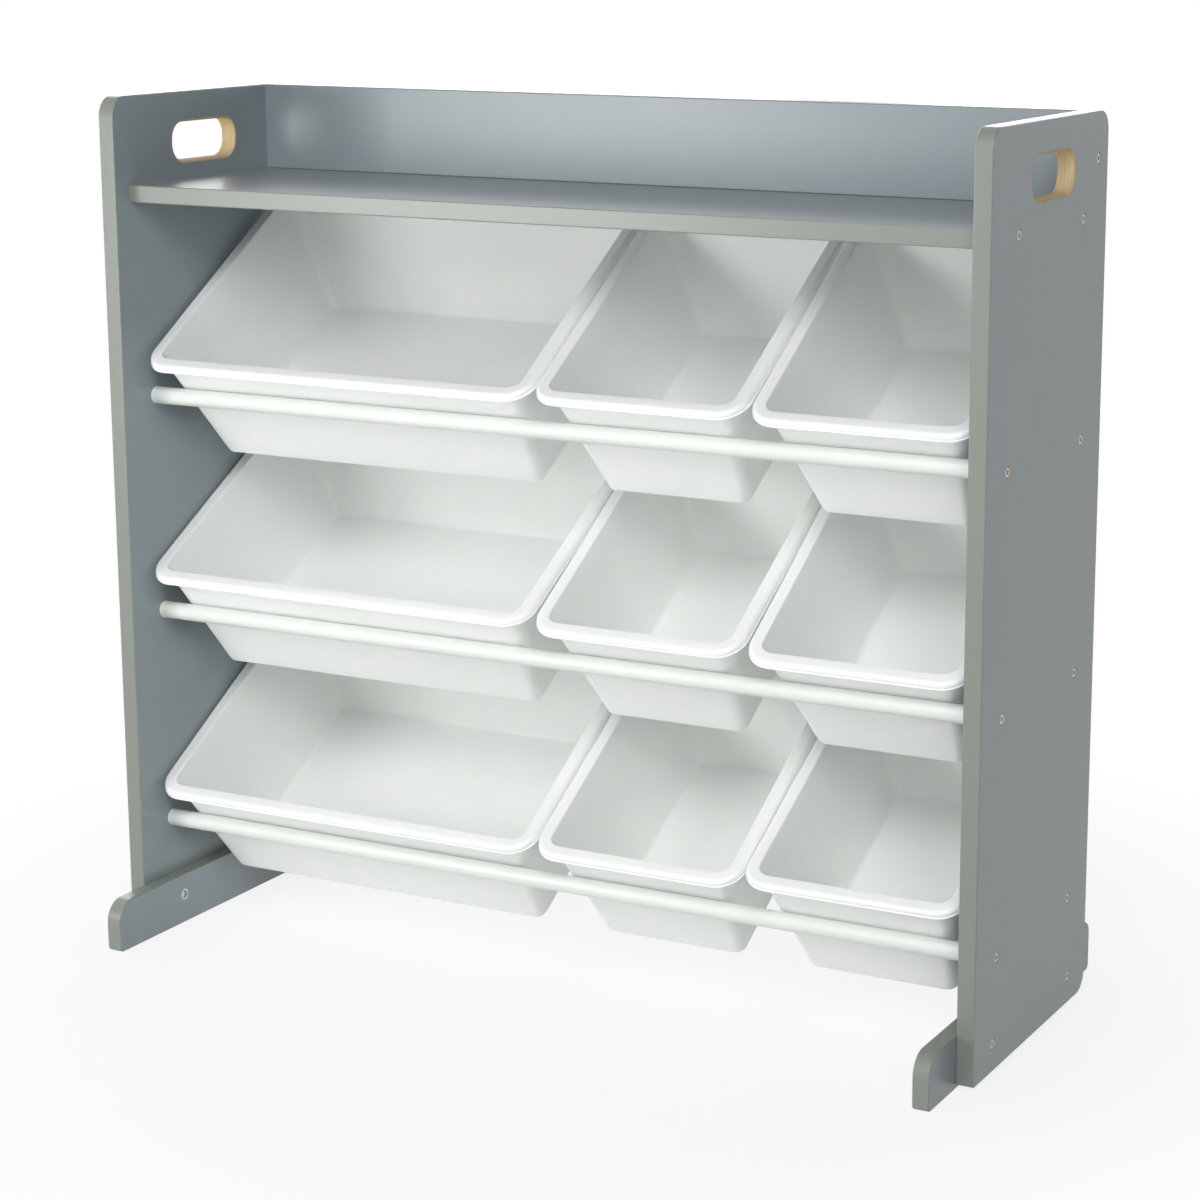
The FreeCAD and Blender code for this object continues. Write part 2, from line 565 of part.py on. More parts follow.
def storage_bin(name, width, left, tier, settling):
    """Open tub with leaning walls and a rolled lip, lying back on the two rods of its tier.

    The body's own frame has X across, Y up the slope from the front lip and Z square to the rim.
    The rear rod touches the bottom and the front rod touches the front wall, each past rest_gap,
    which gives the place of the body's origin.
    """
    body = new_body(name)
    leans = ("sizes.front_taper", "sizes.rear_taper", "sizes.side_taper")
    inner_depth = f"({BIN_HEIGHT} - sizes.bin_floor)"
    wall_corner = "sizes.lip_corner - sizes.lip_reach"
    wall_top = ["sizes.lip_reach"] * 3
    wall_bottom = [f"sizes.lip_reach + {BIN_HEIGHT} * tan({lean})" for lean in leans]
    room_top = ["sizes.lip_reach + sizes.bin_wall"] * 3
    room_bottom = [f"sizes.lip_reach + sizes.bin_wall + {inner_depth} * tan({lean})" for lean in leans]
    skirt = ["sizes.bead_reach"] * 3
    skirt_inner = ["sizes.bead_reach + sizes.bin_wall"] * 3
    skirt_inner_corner = "sizes.lip_corner - sizes.bead_reach - sizes.bin_wall"

    upper = bin_outline(body, "wall_top", width, "0", wall_top, wall_corner)
    lower = bin_outline(body, "wall_bottom", width, f"-{BIN_HEIGHT}", wall_bottom, "sizes.bottom_corner")
    loft(body, "tub", "PartDesign::AdditiveLoft", upper, lower)

    lip = bin_outline(body, "lip_outline", width, "0", skirt, "sizes.lip_corner - sizes.bead_reach")
    pad(body, "lip", lip, "sizes.bin_wall", backwards=True)
    skirt_ring = bin_outline(body, "skirt_outline", width, "0", skirt, "sizes.lip_corner - sizes.bead_reach")
    draw_bin_outline(skirt_ring, width, skirt_inner, skirt_inner_corner)
    pad(body, "skirt", skirt_ring, "sizes.lip_height", backwards=True)
    bead_top = "sizes.bead_height - sizes.lip_height"
    bead_ring = bin_outline(body, "bead_outline", width, bead_top, ["0"] * 3, "sizes.lip_corner")
    draw_bin_outline(bead_ring, width, skirt_inner, skirt_inner_corner)
    pad(body, "bead", bead_ring, "sizes.bead_height", backwards=True)
    round_edges(body, "rolled_lip", "sizes.lip_round", lambda edge: lies_at(edge, 2, 0))
    bottom = -measure(BIN_HEIGHT)
    round_edges(body, "rounded_bottom", "sizes.bottom_round", lambda edge: lies_at(edge, 2, bottom))

    mouth = bin_outline(body, "room_top", width, "0", room_top, f"{wall_corner} - sizes.bin_wall")
    floor = bin_outline(body, "room_bottom", width, f"-{inner_depth}", room_bottom,
                        "sizes.bottom_corner - sizes.bin_wall")
    loft(body, "room", "PartDesign::SubtractiveLoft", mouth, floor)
    floor_level = -measure(inner_depth)
    round_edges(body, "rounded_floor", "sizes.floor_round", lambda edge: lies_at(edge, 2, floor_level))
    near_mouth = measure("sizes.lip_reach")
    far_mouth = measure(f"{width} - sizes.lip_reach")
    round_edges(body, "rounded_rim", "sizes.rim_round",
                lambda edge: lies_at(edge, 2, 0)
                and all(near_mouth < vertex.Point.x < far_mouth for vertex in edge.Vertexes))

    tilt = f"(sizes.bin_tilt + sizes.{settling})"
    along_normal = f"({ROD_PITCH} * sin({tilt}) - {BIN_HEIGHT} - sizes.rest_gap - {ROD_RADIUS})"
    off_wall = f"({ROD_RADIUS} + sizes.rest_gap + sin(sizes.front_taper) * {along_normal})"
    along_slope = f"(sizes.lip_reach - {off_wall} / cos(sizes.front_taper))"
    body.Placement = FreeCAD.Placement(
        FreeCAD.Vector(), FreeCAD.Rotation(FreeCAD.Vector(1, 0, 0), measure(tilt)))
    body.setExpression("Placement.Rotation.Angle", tilt)
    place(body, x=left,
          y=f"sizes.rod_setback - {along_slope} * cos({tilt}) + {along_normal} * sin({tilt})",
          z=f"{tier_height(tier)} - {along_slope} * sin({tilt}) - {along_normal} * cos({tilt})")
    return body


sub_parts = [
    side_panel("left_side_panel", outer_at_left=True),
    side_panel("right_side_panel", outer_at_left=False),
    foot("left_foot", inner_at_right=True),
    foot("right_foot", inner_at_right=False),
    cross_board("top_shelf", "sizes.shelf_setback", SHELF_DEPTH, SHELF_UNDERSIDE, "sizes.shelf_board",
                SHELF_SCREWS, pegs_from_below=False),
    cross_board("back_board", f"{SHELF_BACK} - sizes.back_board_thickness", "sizes.back_board_thickness",
                SHELF_TOP, "sizes.back_board_height", [BACK_BOARD_SCREW], pegs_from_below=True),
    back_board_dowels("back_board_dowels"),
    rod_end_plugs("rod_end_plugs"),
    headed_fasteners("rod_screws", ("sizes.rod_setback", "sizes.low_tier_height"),
                     "sizes.screw_diameter", "sizes.screw_length",
                     [("Y_Axis", ROD_PITCH, 2), ("Z_Axis", ALL_TIERS, len(TIERS))]),
    headed_fasteners("shelf_screws", SHELF_SCREWS[0], "sizes.screw_diameter", "sizes.screw_length",
                     [("Y_Axis", f"{SHELF_DEPTH} - 2 * sizes.shelf_screw_inset", 2)]),
    headed_fasteners("back_board_screws", BACK_BOARD_SCREW, "sizes.screw_diameter", "sizes.screw_length", []),
    headed_fasteners("foot_bolts", FOOT_BOLTS[0], "sizes.bolt_diameter", "sizes.bolt_length",
                     [("Y_Axis", f"{REAR_BOLT} - sizes.foot_bolt_inset", 2)]),
    foot_sleeve_nuts("foot_sleeve_nuts"),
]

for tier, level in enumerate(TIERS):
    small = f"bin_small_{level}"
    large_left = f"-{INNER_HALF} + sizes.{level}_row_gap"
    centre_left = f"{large_left} + {LARGE_BIN_WIDTH} + sizes.bin_gap"
    right_left = f"{centre_left} + {SMALL_BIN_WIDTH} + sizes.bin_gap"
    sub_parts += [
        rod(f"front_rod_{level}", "sizes.rod_setback", tier_height(tier)),
        rod(f"rear_rod_{level}", REAR_ROD, tier_height(tier)),
        storage_bin(f"bin_large_{level}", LARGE_BIN_WIDTH, large_left, tier, f"settling_large_{level}"),
        storage_bin(f"{small}_centre", SMALL_BIN_WIDTH, centre_left, tier, f"settling_centre_{level}"),
        storage_bin(f"{small}_right", SMALL_BIN_WIDTH, right_left, tier, f"settling_right_{level}"),
    ]

doc.recompute()
for item in doc.Objects:
    if "Invalid" in item.State or "Error" in item.State:
        raise ValueError(f"{item.Label} is {item.State}")
for part in sub_parts:
    if part.Shape.isNull() or not part.Shape.isValid():
        raise ValueError(f"{part.Label} has no valid shape")

os.makedirs("parts", exist_ok=True)
for part in sub_parts:
    part.Shape.exportStep(f"parts/{part.Label}.step")
    print(f"{part.Label}: {len(part.Shape.Solids)} solids, {part.Shape.Volume / 1000:.1f} cm3")
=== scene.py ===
"""Looks of a toy storage organizer: grey board rack, white tubs on three tiers of white rods."""
import bpy
import numpy as np
from math import pi, radians
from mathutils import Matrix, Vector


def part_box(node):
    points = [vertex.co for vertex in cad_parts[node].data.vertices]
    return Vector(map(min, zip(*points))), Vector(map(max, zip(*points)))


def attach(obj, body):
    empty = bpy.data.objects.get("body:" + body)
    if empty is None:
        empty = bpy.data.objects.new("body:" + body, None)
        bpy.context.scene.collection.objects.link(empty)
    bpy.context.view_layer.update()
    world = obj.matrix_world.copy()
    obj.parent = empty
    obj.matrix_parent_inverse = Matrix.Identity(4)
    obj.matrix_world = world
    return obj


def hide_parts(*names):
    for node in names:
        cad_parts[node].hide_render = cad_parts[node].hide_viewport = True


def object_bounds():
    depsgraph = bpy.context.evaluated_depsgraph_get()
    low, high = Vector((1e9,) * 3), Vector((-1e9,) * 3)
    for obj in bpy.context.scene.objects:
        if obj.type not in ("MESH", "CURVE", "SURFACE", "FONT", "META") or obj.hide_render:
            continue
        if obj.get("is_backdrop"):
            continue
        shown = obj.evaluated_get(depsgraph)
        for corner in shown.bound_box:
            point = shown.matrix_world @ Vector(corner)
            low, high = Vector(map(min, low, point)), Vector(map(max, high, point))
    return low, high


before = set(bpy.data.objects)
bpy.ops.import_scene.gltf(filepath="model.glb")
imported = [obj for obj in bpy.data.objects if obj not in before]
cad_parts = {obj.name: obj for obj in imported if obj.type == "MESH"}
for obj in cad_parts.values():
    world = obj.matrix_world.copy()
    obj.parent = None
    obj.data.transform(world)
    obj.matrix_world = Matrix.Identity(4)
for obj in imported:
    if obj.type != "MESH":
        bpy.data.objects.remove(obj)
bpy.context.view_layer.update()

# ---------------------------------------------------------------- boards of the rack
# Two sides, two feet, the shelf and the back board: 15 and 16 mm MDF, sawn, edges eased with a
# router, sprayed with satin grey lacquer. The faces take the lacquer smooth; the sawn edges drink
# it and dry paler and warmer. Hand slots and screw recesses are cut after spraying and stay raw.
FACE_GREY, FACE_GREY_PALE = "#899397", "#8c969a"
EDGE_GREY, EDGE_GREY_PALE = "#81867f", "#858a83"
RAW_MDF, RAW_MDF_DARK, RAW_MDF_FIBRE = "#cdb790", "#b59a6e", "#dccba8"
CUT_MARGIN = 0.0075
FACE_DEPTH = 0.000005


def linear(hex_colour):
    """Linear RGBA of an sRGB hex colour: x / 12.92 below 0.04045, else ((x + 0.055) / 1.055) ** 2.4."""
    parts = [int(hex_colour[i:i + 2], 16) / 255 for i in (1, 3, 5)]
    return [x / 12.92 if x <= 0.04045 else ((x + 0.055) / 1.055) ** 2.4 for x in parts] + [1.0]


def add(tree, kind, sockets=(), **settings):
    """Adds a node: settings are its properties, sockets maps an input to a value or to an output."""
    node = tree.nodes.new(kind)
    for name, value in settings.items():
        setattr(node, name, value)
    for key, value in dict(sockets).items():
        if isinstance(value, bpy.types.NodeSocket):
            tree.links.new(value, node.inputs[key])
        else:
            node.inputs[key].default_value = value
    return node


def new_material(name, **shader):
    """Material with one Principled shader whose plain values are given by socket name."""
    material = bpy.data.materials.new(name)
    material.use_nodes = True
    bsdf = material.node_tree.nodes["Principled BSDF"]
    for socket, value in shader.items():
        bsdf.inputs[socket.replace("_", " ")].default_value = value
    return material, material.node_tree, bsdf


def speckle(tree, size, stretch=(1, 1, 1), detail=3.0, roughness=0.55):
    """Noise whose lumps are about size metres across, drawn out by stretch along X, Y and Z."""
    place = add(tree, "ShaderNodeTexCoord").outputs["Object"]
    scaled = add(tree, "ShaderNodeMapping", {"Vector": place, "Scale": [1 / s for s in stretch]})
    return add(tree, "ShaderNodeTexNoise", {
        "Vector": scaled.outputs["Vector"], "Scale": 1 / size, "Detail": detail, "Roughness": roughness,
    }).outputs["Fac"]


def between(tree, amount, first, second, low=0.35, high=0.65):
    """Colour that goes from first to second as amount goes from low to high."""
    ramp = add(tree, "ShaderNodeMapRange", {"Value": amount, "From Min": low, "From Max": high})
    mix = add(tree, "ShaderNodeMix", {"Factor": ramp.outputs["Result"]}, data_type="RGBA")
    for socket, colour in ((6, first), (7, second)):
        if isinstance(colour, bpy.types.NodeSocket):
            tree.links.new(colour, mix.inputs[socket])
        else:
            mix.inputs[socket].default_value = linear(colour)
    return mix.outputs[2]


def ranged(tree, amount, low, high):
    """Number from low to high as a noise goes over its middle range."""
    return add(tree, "ShaderNodeMapRange", {
        "Value": amount, "From Min": 0.3, "From Max": 0.7, "To Min": low, "To Max": high,
    }).outputs["Result"]


def bump(tree, height, depth, strength=1.0, under=None):
    """Normal of a relief that is depth metres from its lowest to its highest point."""
    sockets = {"Height": height, "Distance": depth, "Strength": strength}
    if under is not None:
        sockets["Normal"] = under
    return add(tree, "ShaderNodeBump", sockets).outputs["Normal"]


def lacquer(name, colour, pale, streak):
    """Satin acid-cured lacquer: fine orange peel 2.5 mm across and a cloudiness a hand wide.

    The roughness stays above 0.28, because a noise that crosses about 0.27 comes out of denoising as
    patches with hard edges.
    """
    material, tree, bsdf = new_material(name, Roughness=0.31, IOR=1.5)
    cloud = speckle(tree, 0.16, streak)
    tree.links.new(between(tree, cloud, colour, pale), bsdf.inputs["Base Color"])
    tree.links.new(ranged(tree, speckle(tree, 0.03, streak), 0.3, 0.32), bsdf.inputs["Roughness"])
    peel = bump(tree, speckle(tree, 0.0025, detail=1.0), 0.00002, 0.3)
    fuzz = bump(tree, speckle(tree, 0.0012, streak), 0.00002, 0.3, under=peel)
    tree.links.new(fuzz, bsdf.inputs["Normal"])
    return material


def raw_mdf():
    """Routed MDF: tan fibre, darker burnished streaks a millimetre thick that follow the board."""
    material, tree, bsdf = new_material("raw_routed_mdf", Roughness=0.85, IOR=1.45)
    layers = speckle(tree, 0.0018, (1, 14, 14), detail=4.0)
    fibre = speckle(tree, 0.0009)
    tone = between(tree, layers, RAW_MDF, RAW_MDF_DARK, 0.42, 0.78)
    tree.links.new(between(tree, fibre, tone, RAW_MDF_FIBRE, 0.5, 0.9), bsdf.inputs["Base Color"])
    tree.links.new(bump(tree, fibre, 0.0002, 0.6), bsdf.inputs["Normal"])
    return material


FACE = lacquer("satin_lacquer_on_mdf_face", FACE_GREY, FACE_GREY_PALE, (1, 1, 1))
EDGE = lacquer("satin_lacquer_on_mdf_edge", EDGE_GREY, EDGE_GREY_PALE, (6, 6, 6))
RAW = raw_mdf()
BOARD_NORMAL = {"left_side_panel": 0, "right_side_panel": 0, "left_foot": 0, "right_foot": 0,
                "top_shelf": 2, "back_board": 1}


def polygon_table(mesh):
    """Normals and centres of a mesh's faces as two arrays."""
    normals = np.zeros(len(mesh.polygons) * 3, np.float32)
    centres = np.zeros(len(mesh.polygons) * 3, np.float32)
    mesh.polygons.foreach_get("normal", normals)
    mesh.polygons.foreach_get("center", centres)
    return normals.reshape(-1, 3), centres.reshape(-1, 3)


for node, across in BOARD_NORMAL.items():
    # Faces square to the board are lacquered faces and the rest are edges. On the sides and feet, what lies
    # well inside the outline and below the face is cut after spraying and raw.
    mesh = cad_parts[node].data
    mesh.materials.clear()
    for material in (FACE, EDGE, RAW):
        mesh.materials.append(material)
    normals, centres = polygon_table(mesh)
    kind = np.where(np.abs(normals[:, across]) > 0.9, 0, 1)
    if across == 0:
        low, high = (np.array(corner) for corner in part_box(node))
        inset = np.minimum(centres - low, high - centres)
        inside = np.minimum(inset[:, 1], inset[:, 2]) > CUT_MARGIN
        kind = np.where(inside & (inset[:, 0] > FACE_DEPTH), 2, kind)
    mesh.polygons.foreach_set("material_index", kind.astype(np.int32))

# ---------------------------------------------------------------- rods and their end plugs
# Six round steel tubes, 16 mm, drawn, cut and powder coated white. A plug of moulded nylon closes
# each end, and its 3 mm flange shows as a ring where the tube meets the side.
ROD_WHITE, ROD_WHITE_PALE = "#e0e3df", "#e3e6e2"
PLUG_WHITE, PLUG_WHITE_DEEP = "#e2e7e4", "#dde2df"
PLUG_FLANGE = 0.003
SEAM = 0.0005


def shell_mesh(name, shells, material):
    """Mesh of closed shells, each a grid of rows of points that go round, and a point at each end.

    The quads join point j of row i to row i + 1 and to j + 1, and fans close the first and last row.
    """
    points, faces, shift = [], [], 0
    for rows, first, last in shells:
        count, around = rows.shape[:2]
        index = np.arange(count * around).reshape(count, around) + shift
        ahead = np.roll(index, -1, axis=1)
        quads = np.stack([index[:-1], index[1:], ahead[1:], ahead[:-1]], -1).reshape(-1, 4)
        start, end = shift + count * around, shift + count * around + 1
        fans = [(start, a, b) for a, b in zip(index[0].tolist(), ahead[0].tolist())]
        fans += [(end, b, a) for a, b in zip(index[-1].tolist(), ahead[-1].tolist())]
        points += [rows.reshape(-1, 3), [first, last]]
        faces += quads.tolist() + fans
        shift += count * around + 2
    mesh = bpy.data.meshes.new(name)
    mesh.from_pydata(np.concatenate(points).tolist(), [], faces)
    mesh.shade_smooth()
    mesh.set_sharp_from_angle(angle=radians(38))
    mesh.materials.append(material)
    piece = bpy.data.objects.new(name, mesh)
    bpy.context.scene.collection.objects.link(piece)
    return piece


def round_bar(low, high, radius, y, z, ease):
    """Bar along X whose end rims are quarter circles: ease * (1 - sin t) in from its end face along x,
    ease * (1 - cos t) in from its radius, with t from 90 degrees at the face to 0 at the tube.
    """
    turn = np.linspace(0, pi / 2, 5)
    end, rim = ease * (1 - np.sin(turn)), ease * (1 - np.cos(turn))
    x = np.concatenate([high - end[::-1], low + end])
    r = radius - np.concatenate([rim[::-1], rim])
    angle = np.linspace(0, 2 * pi, 72, endpoint=False)
    rows = np.stack(np.broadcast_arrays(x[:, None], y + r[:, None] * np.cos(angle),
                                        z + r[:, None] * np.sin(angle)), -1)
    return rows, (high, y, z), (low, y, z)


def powder_coat():
    """Baked polyester powder: smooth and half glossy, with a shallow orange peel 2 mm across."""
    material, tree, bsdf = new_material("white_powder_coat", Roughness=0.32, IOR=1.5)
    tone = between(tree, speckle(tree, 0.05), ROD_WHITE, ROD_WHITE_PALE)
    tree.links.new(tone, bsdf.inputs["Base Color"])
    tree.links.new(ranged(tree, speckle(tree, 0.012), 0.29, 0.35), bsdf.inputs["Roughness"])
    tree.links.new(bump(tree, speckle(tree, 0.002, detail=1.0), 0.00002, 0.25), bsdf.inputs["Normal"])
    return material


def moulded_nylon():
    """Nylon off a polished mould: even, a little softer in gloss than the coated tube."""
    material, tree, bsdf = new_material("white_moulded_nylon", Roughness=0.38, IOR=1.53)
    tone = between(tree, speckle(tree, 0.01), PLUG_WHITE, PLUG_WHITE_DEEP)
    tree.links.new(tone, bsdf.inputs["Base Color"])
    tree.links.new(ranged(tree, speckle(tree, 0.003), 0.34, 0.42), bsdf.inputs["Roughness"])
    return material


COAT = powder_coat()
NYLON = moulded_nylon()
plugs = []
for tier in ("bottom", "middle", "top"):
    for row in ("front", "rear"):
        node = f"{row}_rod_{tier}"
        low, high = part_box(node)
        radius = (high[2] - low[2]) / 2
        y, z = (low[1] + high[1]) / 2, (low[2] + high[2]) / 2
        tube = shell_mesh(f"{node}_tube", [round_bar(low[0], high[0], radius, y, z, SEAM)], COAT)
        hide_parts(node)
        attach(tube, "frame")
        plugs.append(round_bar(low[0] - PLUG_FLANGE, low[0], radius, y, z, SEAM))
        plugs.append(round_bar(high[0], high[0] + PLUG_FLANGE, radius, y, z, SEAM))
flanges = shell_mesh("rod_end_plug_flanges", plugs, NYLON)
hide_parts("rod_end_plugs")
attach(flanges, "frame")

# ---------------------------------------------------------------- screws, bolts, nuts and pegs
# Turned steel screws, bolts and sleeve nuts, barrel plated with bright zinc, seated in recesses.
# The pegs between shelf and back board are beech, cut along the grain.
ZINC, ZINC_DULL = "#ccd1d3", "#a3a7a8"
BEECH, BEECH_VESSEL = "#c9a173", "#a67b4d"


def zinc_plate():
    """Barrel-plated zinc: bright metal with a cloudy film in patches and faint turning marks."""
    material, tree, bsdf = new_material("barrel_plated_zinc", Metallic=1.0, Roughness=0.36)
    film = speckle(tree, 0.0016)
    tree.links.new(between(tree, film, ZINC, ZINC_DULL), bsdf.inputs["Base Color"])
    tree.links.new(ranged(tree, speckle(tree, 0.0007), 0.29, 0.44), bsdf.inputs["Roughness"])
    marks = speckle(tree, 0.0006, (4, 1, 1))
    tree.links.new(bump(tree, marks, 0.00003, 0.6), bsdf.inputs["Normal"])
    return material


def beech():
    """Beech peg: short dark vessels, half a millimetre wide, drawn out along the peg."""
    material, tree, bsdf = new_material("beech_along_the_grain", Roughness=0.6, IOR=1.5)
    vessels = speckle(tree, 0.0006, (1, 1, 12))
    tree.links.new(between(tree, vessels, BEECH, BEECH_VESSEL, 0.5, 0.75), bsdf.inputs["Base Color"])
    tree.links.new(bump(tree, vessels, 0.00008, 0.5), bsdf.inputs["Normal"])
    return material


PLATE = zinc_plate()
PEG = beech()
for node in ("rod_screws", "shelf_screws", "back_board_screws", "foot_bolts", "foot_sleeve_nuts"):
    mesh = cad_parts[node].data
    mesh.materials.clear()
    mesh.materials.append(PLATE)
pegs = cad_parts["back_board_dowels"].data
pegs.materials.clear()
pegs.materials.append(PEG)

# ---------------------------------------------------------------- tubs
# Nine tubs of injection-moulded polypropylene, white and a little translucent, 2.2 mm thick, with
# leaning walls and a rolled lip whose skirt ends in a bead. They lie back on the rods, each settled
# at its own slope, and lift straight out.
SMALL_WIDTH = 0.207
LARGE_WIDTH = 0.414
TUB_LENGTH = 0.28205
TUB_HEIGHT = 0.12407
WALL, TUB_FLOOR = 0.0022, 0.0024
LIP_REACH, LIP_CORNER, LIP_ROLL, LIP_SKIRT = 0.0115, 0.026, 0.004, 0.007
BEAD_REACH, BEAD_HEIGHT = 0.0008, 0.0018
MOUTH_ROUND, FLOOR_ROUND, BOTTOM_ROUND, BOTTOM_CORNER = 0.0014, 0.005, 0.0035, 0.010
LEAN_FRONT, LEAN_REAR, LEAN_SIDE = np.tan(np.radians([5.5, 12.5, 9.8]))
SLOPE = 31.5
SETTLING = {
    "bin_large_bottom": -0.2, "bin_small_bottom_centre": -0.6, "bin_small_bottom_right": -2.8,
    "bin_large_middle": -1.75, "bin_small_middle_centre": 0.05, "bin_small_middle_right": 1.4,
    "bin_large_top": 0.6, "bin_small_top_centre": 0.35, "bin_small_top_right": 1.2,
}
TUB_WHITE, TUB_WHITE_DEEP = "#f6faf7", "#f3f7f4"


def tub_shell(width):
    """Rows of a tub, from the floor inside up over the lip and down outside to the bottom.

    Each row is a rounded rectangle. Its inset from the lip is reach + depth * tan(lean) - offset on
    every side, and its corner radius runs in a straight line from lip to bottom, plus the offset.
    A rounding between a wall that leans by a and a level floor is an arc of 90 degrees less a,
    whose centre is radius * (1 - sin a) / cos a in from the wall's foot.
    """
    turn = np.linspace(0, pi / 2, 11)
    corner = np.repeat(np.arange(4), 14)
    blend = np.tile(np.concatenate([np.zeros(11), [0.25, 0.5, 0.75]]), 4)
    angle = (np.array([pi, 1.5 * pi, 0, 0.5 * pi])[:, None]
             + np.concatenate([turn, np.full(3, pi / 2)])).reshape(-1)
    along = np.cos(angle) ** 2 * LEAN_SIDE
    across = np.sin(angle) ** 2 * np.where(np.sin(angle) < 0, LEAN_FRONT, LEAN_REAR)
    lean = np.arctan(along + across)

    def foot_round(radius, depth, offset):
        """Depth, offset and height of the rows of a rounding, from the level face up to the wall."""
        sweep = np.linspace(0, 1, 8)[:, None] * (pi / 2 - lean)
        inward = radius * ((1 - np.sin(lean)) / np.cos(lean) - np.sin(sweep))
        return np.full_like(inward, depth), offset - inward, radius * (1 - np.cos(sweep)) - depth

    def level_rows(values):
        """The same for rows that keep one depth, offset and height all the way round."""
        return [np.repeat(column[:, None], len(angle), 1) for column in np.array(values).T]

    arc = np.linspace(0, pi / 2, 8)
    out = LIP_REACH - BEAD_REACH
    room = TUB_HEIGHT - TUB_FLOOR
    steps = np.linspace(0.9, 0.04, 8)
    fall, rise = 1 - np.cos(arc), 1 - np.sin(arc)
    mouth = [(0, MOUTH_ROUND * f - WALL, -MOUTH_ROUND * r) for f, r in zip(fall, rise)]
    roll = [(0, out - LIP_ROLL * r, -LIP_ROLL * f) for f, r in zip(fall, rise)]
    bead_mid = -LIP_SKIRT + BEAD_HEIGHT / 2
    bead = [(0, out + BEAD_REACH * np.cos(a), bead_mid + BEAD_HEIGHT / 2 * np.sin(a))
            for a in np.linspace(pi / 2, -pi / 2, 9)]
    under = [(0, out - WALL + 0.0004, -LIP_SKIRT), (0, out - WALL, -LIP_SKIRT + 0.0004),
             (0, out - WALL, -WALL - 0.0012), (0, out - WALL - 0.0012, -WALL), (0, 0.0012, -WALL)]
    groups = [
        level_rows([(room, -WALL - FLOOR_ROUND - 0.004, -room)]),
        foot_round(FLOOR_ROUND, room, -WALL),
        level_rows([(d * room, -WALL, -d * room) for d in steps]),
        level_rows(mouth + [(0, 0.0005, 0), (0, out - LIP_ROLL - 0.0008, 0)] + roll + bead + under),
        level_rows([(d * TUB_HEIGHT, 0, -d * TUB_HEIGHT) for d in steps[::-1]]),
        [column[::-1] for column in foot_round(BOTTOM_ROUND, TUB_HEIGHT, 0)],
        level_rows([(TUB_HEIGHT, -BOTTOM_ROUND - 0.004, -TUB_HEIGHT)]),
    ]
    depth, offset, height = (np.concatenate(column) for column in zip(*groups))
    top_corner = LIP_CORNER - LIP_REACH
    radius = top_corner + (BOTTOM_CORNER - top_corner) * depth / TUB_HEIGHT + offset
    radius = np.maximum(radius, 0.0006)
    left = LIP_REACH + depth * LEAN_SIDE - offset + radius
    front = LIP_REACH + depth * LEAN_FRONT - offset + radius
    rear = TUB_LENGTH - (LIP_REACH + depth * LEAN_REAR - offset + radius)
    right = width - left
    is_right, is_rear = np.array([0, 1, 1, 0]), np.array([0, 0, 1, 1])

    def between_corners(low, high, side):
        """Each corner's own low or high place, and along a side a blend of the two corners' places."""
        start = np.where(side[corner], high, low)
        return start + (np.where(side[(corner + 1) % 4], high, low) - start) * blend

    x = between_corners(left, right, is_right) + radius * np.cos(angle)
    y = between_corners(front, rear, is_rear) + radius * np.sin(angle)
    return np.stack([x, y, height], -1)


def leaning(rows, slope, box):
    """Rows turned by the slope about X, then moved so that their box starts where the node's does."""
    turn = radians(slope)
    y = rows[..., 1] * np.cos(turn) - rows[..., 2] * np.sin(turn)
    z = rows[..., 1] * np.sin(turn) + rows[..., 2] * np.cos(turn)
    turned = np.stack([rows[..., 0], y, z], -1)
    centre = (turned.reshape(-1, 3).min(0) + turned.reshape(-1, 3).max(0)) / 2
    return turned + (np.array(box[0]) + np.array(box[1])) / 2 - centre


def polypropylene():
    """Moulded polypropylene: a waxy satin skin with a spark-eroded grain, light goes a little way in.

    The real grain is 0.1 mm; it is drawn 0.6 mm across so that it shows.
    """
    material, tree, bsdf = new_material("moulded_white_polypropylene", Roughness=0.38, IOR=1.49,
                                        Subsurface_Weight=1.0, Subsurface_Scale=0.0012)
    bsdf.inputs["Subsurface Radius"].default_value = (1.0, 0.97, 0.9)
    tone = between(tree, speckle(tree, 0.07), TUB_WHITE, TUB_WHITE_DEEP)
    tree.links.new(tone, bsdf.inputs["Base Color"])
    tree.links.new(ranged(tree, speckle(tree, 0.02), 0.35, 0.43), bsdf.inputs["Roughness"])
    grain = bump(tree, speckle(tree, 0.0006, detail=1.0), 0.00002, 0.4)
    sink = bump(tree, speckle(tree, 0.05, detail=1.0), 0.0003, 0.15, under=grain)
    tree.links.new(sink, bsdf.inputs["Normal"])
    return material


PLASTIC = polypropylene()
for node, settling in SETTLING.items():
    rows = tub_shell(LARGE_WIDTH if "large" in node else SMALL_WIDTH)
    rows = leaning(rows, SLOPE + settling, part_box(node))
    first, last = rows[0].mean(0), rows[-1].mean(0)
    tub = shell_mesh(node.replace("bin", "tub"), [(rows, first.tolist(), last.tolist())], PLASTIC)
    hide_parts(node)
    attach(tub, node.replace("bin_", "") + "_tub")

# ---------------------------------------------------------------- floor, light and camera
# A white sheet of paper under softboxes: three at the right and high in front, a small low one at the
# front left that gleams on the back board, three at the left and behind, and a dim pale room. The camera
# stands where the photograph was taken, worked out from the edges of the boards.
FLOOR_WHITE, FLOOR_WHITE_PALE = "#e9ece9", "#eceeec"
ROOM_WHITE = "#f7faf9"


